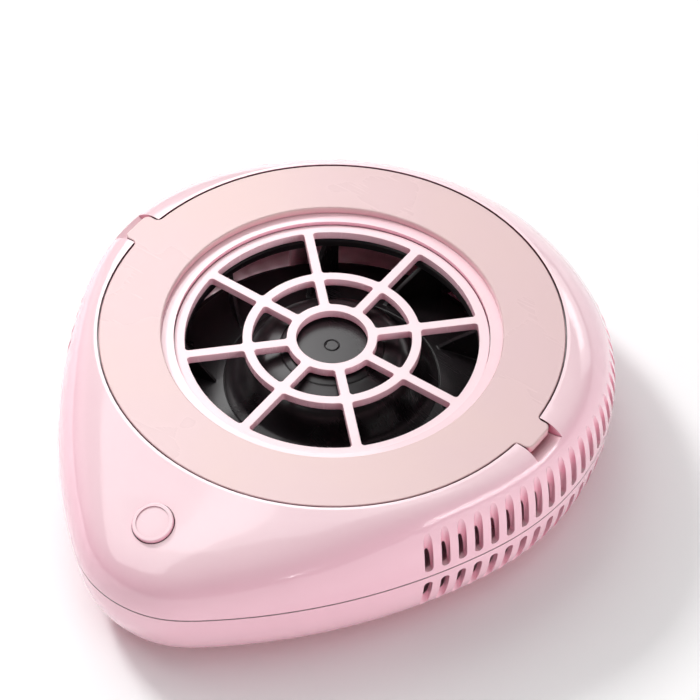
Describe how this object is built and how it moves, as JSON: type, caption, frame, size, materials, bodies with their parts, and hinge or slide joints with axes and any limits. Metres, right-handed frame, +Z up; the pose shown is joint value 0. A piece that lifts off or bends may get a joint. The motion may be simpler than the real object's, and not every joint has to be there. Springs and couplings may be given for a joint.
{
  "type": "nail dust collector",
  "caption": "Egg-shaped tabletop nail dust collector: round grille and lift-off filter ring over a centrifugal fan, side vents and a push button.",
  "frame": {"origin": "under the middle of the housing, on the table top", "axes": "+Y from the narrow tip with the button to the broad back with the power inlet, +Z up, +X to the right seen from the tip"},
  "size_m": [0.2138, 0.2518, 0.065],
  "materials": {
    "shell_pink": "gloss",
    "lid_satin": "satin",
    "grille_pink": "semi-gloss",
    "button_pink": "gloss",
    "fan_black": "satin",
    "black_plastic": "matte",
    "white_plastic": "matte",
    "board_green": "satin",
    "zinc_steel": "zinc plated",
    "bright_steel": "ground",
    "core_steel": "varnished laminations",
    "magnet_grey": "matte",
    "winding_copper": "enamelled",
    "cast_alloy": "as cast",
    "rubber_black": "matte",
    "foam_black": "open-cell foam",
    "pin_brass": "nickel-free",
    "lead_black": "PVC sheath"
  },
  "bodies": {
    "housing": {"upper_shell": "shell_pink", "lower_shell": "shell_pink", "suction_grille": "grille_pink", "push_switch": "black_plastic", "control_board": "board_green", "board_connectors": "white_plastic", "board_screws": "zinc_steel", "intake_ring": "black_plastic", "intake_gasket": "foam_black", "intake_screws": "zinc_steel", "stator_core": "core_steel", "stator_windings": "winding_copper", "motor_base": "cast_alloy", "motor_board": "board_green", "motor_screws": "zinc_steel", "upper_bearing": "bright_steel", "lower_bearing": "bright_steel", "fan_frame": "black_plastic", "frame_grommets": "rubber_black", "frame_screws": "zinc_steel", "housing_screws": "zinc_steel", "rubber_feet": "rubber_black", "power_inlet": "black_plastic", "inlet_pin": "pin_brass", "inlet_nut": "pin_brass", "power_lead": "lead_black", "motor_lead": "lead_black"},
    "fan_wheel": {"impeller": "fan_black", "rotor_cup": "zinc_steel", "rotor_magnet": "magnet_grey", "motor_shaft": "bright_steel", "shaft_clip": "bright_steel"},
    "lid": {"lid_ring": "lid_satin"},
    "button": {"power_button": "button_pink", "switch_plunger": "black_plastic"}
  },
  "joints": [
    {"name": "fan_spin", "type": "hinge", "parent": "housing", "child": "fan_wheel", "pos_m": [0, 0.0108, 0.045], "axis": [0, 0, 1], "continuous": true},
    {"name": "lid_lift", "type": "slide", "parent": "housing", "child": "lid", "axis": [0, 0, 1], "range_m": [0, 0.06]},
    {"name": "button_press", "type": "slide", "parent": "housing", "child": "button", "axis": [0, 0.3207, -0.9472], "range_m": [0, 0.0015], "stiffness_N_per_m": 250, "springref_m": -0.002}
  ]
}
